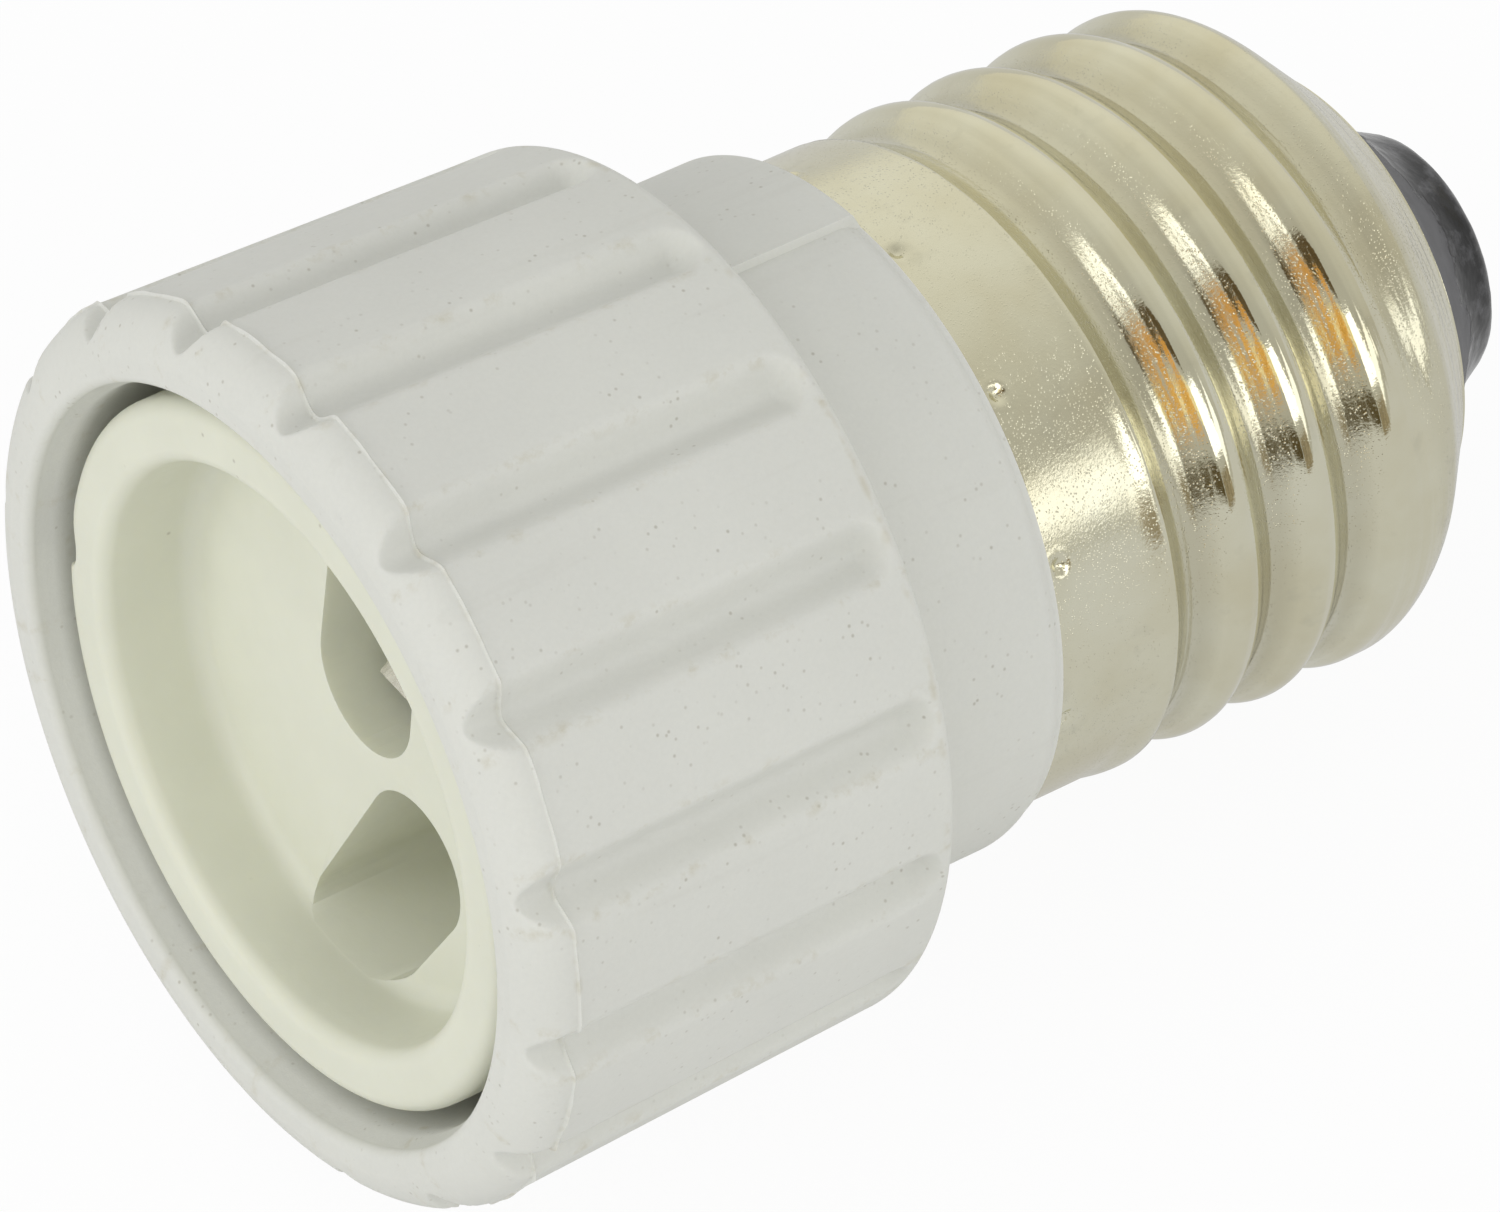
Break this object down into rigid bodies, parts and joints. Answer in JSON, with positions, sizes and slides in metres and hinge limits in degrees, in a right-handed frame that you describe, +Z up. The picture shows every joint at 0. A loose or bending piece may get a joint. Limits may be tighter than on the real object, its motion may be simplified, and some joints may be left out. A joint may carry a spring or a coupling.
{
  "type": "lamp socket adapter",
  "caption": "Adapter with a metal screw cap at one end and a fluted plastic grip round a ceramic twist-lock lamp socket at the other.",
  "frame": {"origin": "bottom centre of the box round the adapter as it lies on the ground", "axes": "+X runs from the socket's mouth towards the screw cap along the length, with the axis sinking 9.0 degrees towards the cap; +Z is up"},
  "size_m": [0.0566, 0.0352, 0.0369],
  "materials": {
    "housing": "matt moulded white plastic",
    "ceramic": "unglazed cream-white porcelain",
    "nickel": "satin nickel plate",
    "insulator": "black fused insulator, glossy at the tip",
    "bronze": "plated spring bronze",
    "copper": "bare copper",
    "sleeve": "woven insulating sleeve",
    "solder": "dull solder"
  },
  "bodies": {
    "root": {"housing": "housing", "ceramic_body": "ceramic", "back_plate": "ceramic", "screw_shell": "nickel", "tip_insulator": "insulator", "centre_contact": "nickel", "neutral_spring": "bronze", "neutral_terminal": "bronze", "neutral_rivet": "bronze", "live_spring": "bronze", "live_terminal": "bronze", "live_rivet": "bronze", "live_conductor": "copper", "live_sleeve": "sleeve", "neutral_conductor": "copper", "neutral_sleeve": "sleeve", "shell_solder": "solder", "centre_solder": "solder"}
  },
  "joints": []
}
